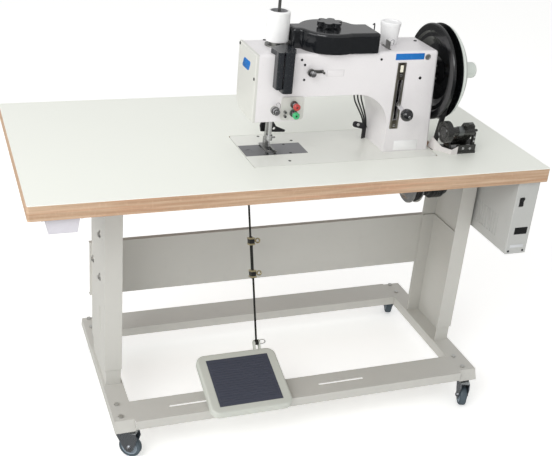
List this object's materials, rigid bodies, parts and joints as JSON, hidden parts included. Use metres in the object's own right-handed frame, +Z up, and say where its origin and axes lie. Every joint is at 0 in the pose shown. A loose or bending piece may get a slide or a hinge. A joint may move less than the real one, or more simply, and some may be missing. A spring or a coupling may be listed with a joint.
{
  "type": "industrial sewing machine",
  "caption": "Industrial zigzag sewing machine head with a large handwheel, set in a work table on a caster stand with treadle, motor and control box.",
  "frame": {"origin": "on the floor, under the middle of the whole machine", "axes": "+X to the operator's right along the table, +Y away from the operator, +Z up"},
  "size_m": [1.4, 0.7239, 1.18],
  "materials": {
    "table": "white laminate over plywood",
    "stand_paint": "warm light grey paint",
    "bolt_zinc": "zinc plated",
    "caster_steel": "stamped plated steel",
    "caster_tyre": "blue grey tyre",
    "drawer_plastic": "moulded plastic",
    "pedal_paint": "painted casting",
    "pedal_rubber": "ribbed mat",
    "rod_steel": "plain steel rod",
    "black_plastic": "black plastic",
    "motor_paint": "grey paint",
    "pulley_metal": "turned aluminium",
    "belt_rubber": "V-belt rubber",
    "control_paint": "light grey paint",
    "head_enamel": "white enamel on cast iron",
    "face_enamel": "light grey enamel",
    "plate_steel": "ground steel",
    "shaft_steel": "ground steel",
    "bush_bronze": "bearing bronze",
    "wheel_enamel": "gloss black enamel",
    "disc_enamel": "pale green white enamel",
    "bright_chrome": "polished",
    "dark_steel": "blackened steel",
    "red_plastic": "moulded",
    "green_plastic": "moulded",
    "gloss_black": "gloss black plastic",
    "scale_nickel": "dull nickel",
    "thread_white": "wound thread",
    "cup_plastic": "white plastic",
    "winder_black": "black enamel",
    "cable_black": "cable sheath"
  },
  "bodies": {
    "machine": {"table_top": "table", "legs": "stand_paint", "feet": "stand_paint", "cross_beams": "stand_paint", "cross_panel": "stand_paint", "stand_bolts": "bolt_zinc", "pedal_bracket": "stand_paint", "speed_unit": "black_plastic", "motor": "motor_paint", "drive_belt": "belt_rubber", "control_box": "control_paint", "machine_bed": "head_enamel", "needle_plate": "plate_steel", "bobbin_cover": "plate_steel", "arm_casting": "head_enamel", "face_plate": "face_enamel", "bobbin_case": "bright_chrome", "shaft_bushes": "bush_bronze", "take_up_guard": "gloss_black", "cam_cover": "gloss_black", "tension_panel": "bright_chrome", "scale_plate": "scale_nickel", "thread_guides": "bright_chrome", "oil_cup": "cup_plastic", "winder_base": "winder_black", "cables": "cable_black"},
    "pedal": {"pedal_frame": "pedal_paint", "pedal_mat": "pedal_rubber"},
    "treadle_rod": {"treadle_rod": "rod_steel"},
    "speed_lever": {"speed_lever": "bolt_zinc"},
    "motor_pulley": {"motor_pulley": "pulley_metal"},
    "main_drive": {"main_shaft": "shaft_steel", "drive_wheel": "wheel_enamel", "handwheel": "disc_enamel"},
    "upright_shaft": {"upright_shaft": "shaft_steel"},
    "hook_shaft": {"hook_shaft": "shaft_steel"},
    "pattern_cam": {"pattern_cam": "shaft_steel"},
    "needle_bar_frame": {"needle_bar_frame": "shaft_steel"},
    "needle_bar": {"needle_bar": "bright_chrome"},
    "take_up_lever": {"take_up_lever": "bright_chrome"},
    "presser_bar": {"presser_bar": "bright_chrome"},
    "lifter_lever": {"lifter_lever": "dark_steel"},
    "red_tension_nut": {"red_tension_nut": "red_plastic"},
    "green_tension_nut": {"green_tension_nut": "green_plastic"},
    "stitch_lever": {"stitch_lever": "gloss_black"},
    "power_switch": {"power_switch": "black_plastic"},
    "drawer": {"drawer": "drawer_plastic"},
    "feed_dog": {"feed_dog": "shaft_steel"},
    "thread_spool": {"thread_spool": "thread_white"},
    "winder_arm": {"winder_arm": "winder_black"},
    "winder_wheel": {"winder_wheel": "winder_black"},
    "cover_knob": {"cover_knob": "gloss_black"},
    "caster_fork_front_left": {"caster_fork_front_left": "caster_steel"},
    "caster_wheel_front_left": {"caster_wheel_front_left": "caster_tyre"},
    "caster_fork_front_right": {"caster_fork_front_right": "caster_steel"},
    "caster_wheel_front_right": {"caster_wheel_front_right": "caster_tyre"},
    "caster_fork_back_left": {"caster_fork_back_left": "caster_steel"},
    "caster_wheel_back_left": {"caster_wheel_back_left": "caster_tyre"},
    "caster_fork_back_right": {"caster_fork_back_right": "caster_steel"},
    "caster_wheel_back_right": {"caster_wheel_back_right": "caster_tyre"}
  },
  "joints": [
    {"name": "caster_swivel_front_left", "type": "hinge", "parent": "machine", "child": "caster_fork_front_left", "pos_m": [-0.466, -0.305, 0.08], "axis": [0, 0, 1], "continuous": true},
    {"name": "caster_roll_front_left", "type": "hinge", "parent": "caster_fork_front_left", "child": "caster_wheel_front_left", "pos_m": [-0.45003, -0.31704, 0.0315], "axis": [0.6018, 0.7986, 0], "continuous": true},
    {"name": "caster_swivel_front_right", "type": "hinge", "parent": "machine", "child": "caster_fork_front_right", "pos_m": [0.581, -0.305, 0.08], "axis": [0, 0, 1], "continuous": true},
    {"name": "caster_roll_front_right", "type": "hinge", "parent": "caster_fork_front_right", "child": "caster_wheel_front_right", "pos_m": [0.57416, -0.32379, 0.0315], "axis": [0.9397, -0.342, 0], "continuous": true},
    {"name": "caster_swivel_back_left", "type": "hinge", "parent": "machine", "child": "caster_fork_back_left", "pos_m": [-0.466, 0.2, 0.08], "axis": [0, 0, 1], "continuous": true},
    {"name": "caster_roll_back_left", "type": "hinge", "parent": "caster_fork_back_left", "child": "caster_wheel_back_left", "pos_m": [-0.46082, 0.21932, 0.0315], "axis": [-0.9659, 0.2588, 0], "continuous": true},
    {"name": "caster_swivel_back_right", "type": "hinge", "parent": "machine", "child": "caster_fork_back_right", "pos_m": [0.581, 0.2, 0.08], "axis": [0, 0, 1], "continuous": true},
    {"name": "caster_roll_back_right", "type": "hinge", "parent": "caster_fork_back_right", "child": "caster_wheel_back_right", "pos_m": [0.58784, 0.21879, 0.0315], "axis": [-0.9397, 0.342, 0], "continuous": true},
    {"name": "pedal_tilt", "type": "hinge", "parent": "machine", "child": "pedal", "pos_m": [-0.116, -0.2705, 0.131], "axis": [1, 0, 0], "range_deg": [-14, 0], "stiffness_Nm_per_rad": 60, "springref_deg": 1.15},
    {"name": "rod_swing", "type": "hinge", "parent": "pedal", "child": "treadle_rod", "pos_m": [-0.046, -0.15252, 0.20001], "axis": [1, 0, 0], "range_deg": [-1, 15]},
    {"name": "speed_lever_turn", "type": "hinge", "parent": "machine", "child": "speed_lever", "pos_m": [-0.085, 0.09294, 0.687], "axis": [1, 0, 0], "range_deg": [-2, 28]},
    {"name": "wheel_spin", "type": "hinge", "parent": "machine", "child": "main_drive", "pos_m": [0.438, -0.092, 0.985], "axis": [1, 0, 0], "continuous": true},
    {"name": "motor_spin", "type": "hinge", "parent": "machine", "child": "motor_pulley", "pos_m": [0.438, -0.06, 0.632], "axis": [1, 0, 0], "continuous": true},
    {"name": "upright_spin", "type": "hinge", "parent": "machine", "child": "upright_shaft", "pos_m": [0.345, -0.092, 0.85], "axis": [0, 0, 1], "continuous": true},
    {"name": "hook_spin", "type": "hinge", "parent": "machine", "child": "hook_shaft", "pos_m": [0.1, -0.092, 0.722], "axis": [1, 0, 0], "continuous": true},
    {"name": "cam_spin", "type": "hinge", "parent": "machine", "child": "pattern_cam", "pos_m": [0.105, -0.092, 1.08], "axis": [0, 0, 1], "continuous": true},
    {"name": "zigzag_swing", "type": "hinge", "parent": "machine", "child": "needle_bar_frame", "pos_m": [-0.035, -0.092, 1.04], "axis": [0, 1, 0], "range_deg": [-0.8, 0.8]},
    {"name": "needle_stroke", "type": "slide", "parent": "needle_bar_frame", "child": "needle_bar", "axis": [0, 0, 1], "range_m": [-0.012, 0.034]},
    {"name": "take_up_swing", "type": "hinge", "parent": "machine", "child": "take_up_lever", "pos_m": [-0.028, -0.13, 0.985], "axis": [-1, 0, 0], "range_deg": [-10, 28]},
    {"name": "lifter_turn", "type": "hinge", "parent": "machine", "child": "lifter_lever", "pos_m": [-0.035, -0.058, 0.859], "axis": [0, -1, 0], "range_deg": [0, 35]},
    {"name": "presser_lift", "type": "slide", "parent": "machine", "child": "presser_bar", "axis": [0, 0, 1], "range_m": [0, 0.008]},
    {"name": "feed_travel", "type": "slide", "parent": "machine", "child": "feed_dog", "axis": [0, 1, 0], "range_m": [-0.003, 0.003]},
    {"name": "red_nut_turn", "type": "hinge", "parent": "machine", "child": "red_tension_nut", "pos_m": [-0.002, -0.18, 0.931], "axis": [0, -1, 0], "range_deg": [-180, 180]},
    {"name": "green_nut_turn", "type": "hinge", "parent": "machine", "child": "green_tension_nut", "pos_m": [-0.002, -0.18, 0.908], "axis": [0, -1, 0], "range_deg": [-180, 180]},
    {"name": "stitch_lever_tilt", "type": "hinge", "parent": "machine", "child": "stitch_lever", "pos_m": [0.298, -0.12, 0.926], "axis": [1, 0, 0], "range_deg": [-18, 18]},
    {"name": "power_rock", "type": "hinge", "parent": "machine", "child": "power_switch", "pos_m": [0.6365, -0.322, 0.678], "axis": [1, 0, 0], "range_deg": [-12, 0]},
    {"name": "drawer_slide", "type": "slide", "parent": "machine", "child": "drawer", "axis": [0, -1, 0], "range_m": [0, 0.25]},
    {"name": "spool_turn", "type": "hinge", "parent": "machine", "child": "thread_spool", "pos_m": [-0.029, -0.073, 1.1], "axis": [0, 0, 1], "continuous": true},
    {"name": "winder_arm_tilt", "type": "hinge", "parent": "machine", "child": "winder_arm", "pos_m": [0.502, -0.16, 0.8], "axis": [1, 0, 0], "range_deg": [-2.8, 0]},
    {"name": "winder_spin", "type": "hinge", "parent": "winder_arm", "child": "winder_wheel", "pos_m": [0.438, -0.2, 0.847], "axis": [1, 0, 0], "continuous": true},
    {"name": "cover_knob_turn", "type": "hinge", "parent": "machine", "child": "cover_knob", "pos_m": [0.105, -0.092, 1.125], "axis": [0, 0, 1], "continuous": true}
  ],
  "couplings": [
    {"joint": "rod_swing", "follows": "pedal_tilt", "ratio": -1},
    {"joint": "speed_lever_turn", "follows": "pedal_tilt", "ratio": -1.9029},
    {"joint": "motor_spin", "follows": "wheel_spin", "ratio": 2},
    {"joint": "upright_spin", "follows": "wheel_spin", "ratio": 1},
    {"joint": "hook_spin", "follows": "wheel_spin", "ratio": 2},
    {"joint": "cam_spin", "follows": "wheel_spin", "ratio": 0.083333},
    {"joint": "take_up_swing", "follows": "needle_stroke", "rad_per_m": 14},
    {"joint": "lifter_turn", "follows": "presser_lift", "rad_per_m": 76.3}
  ]
}
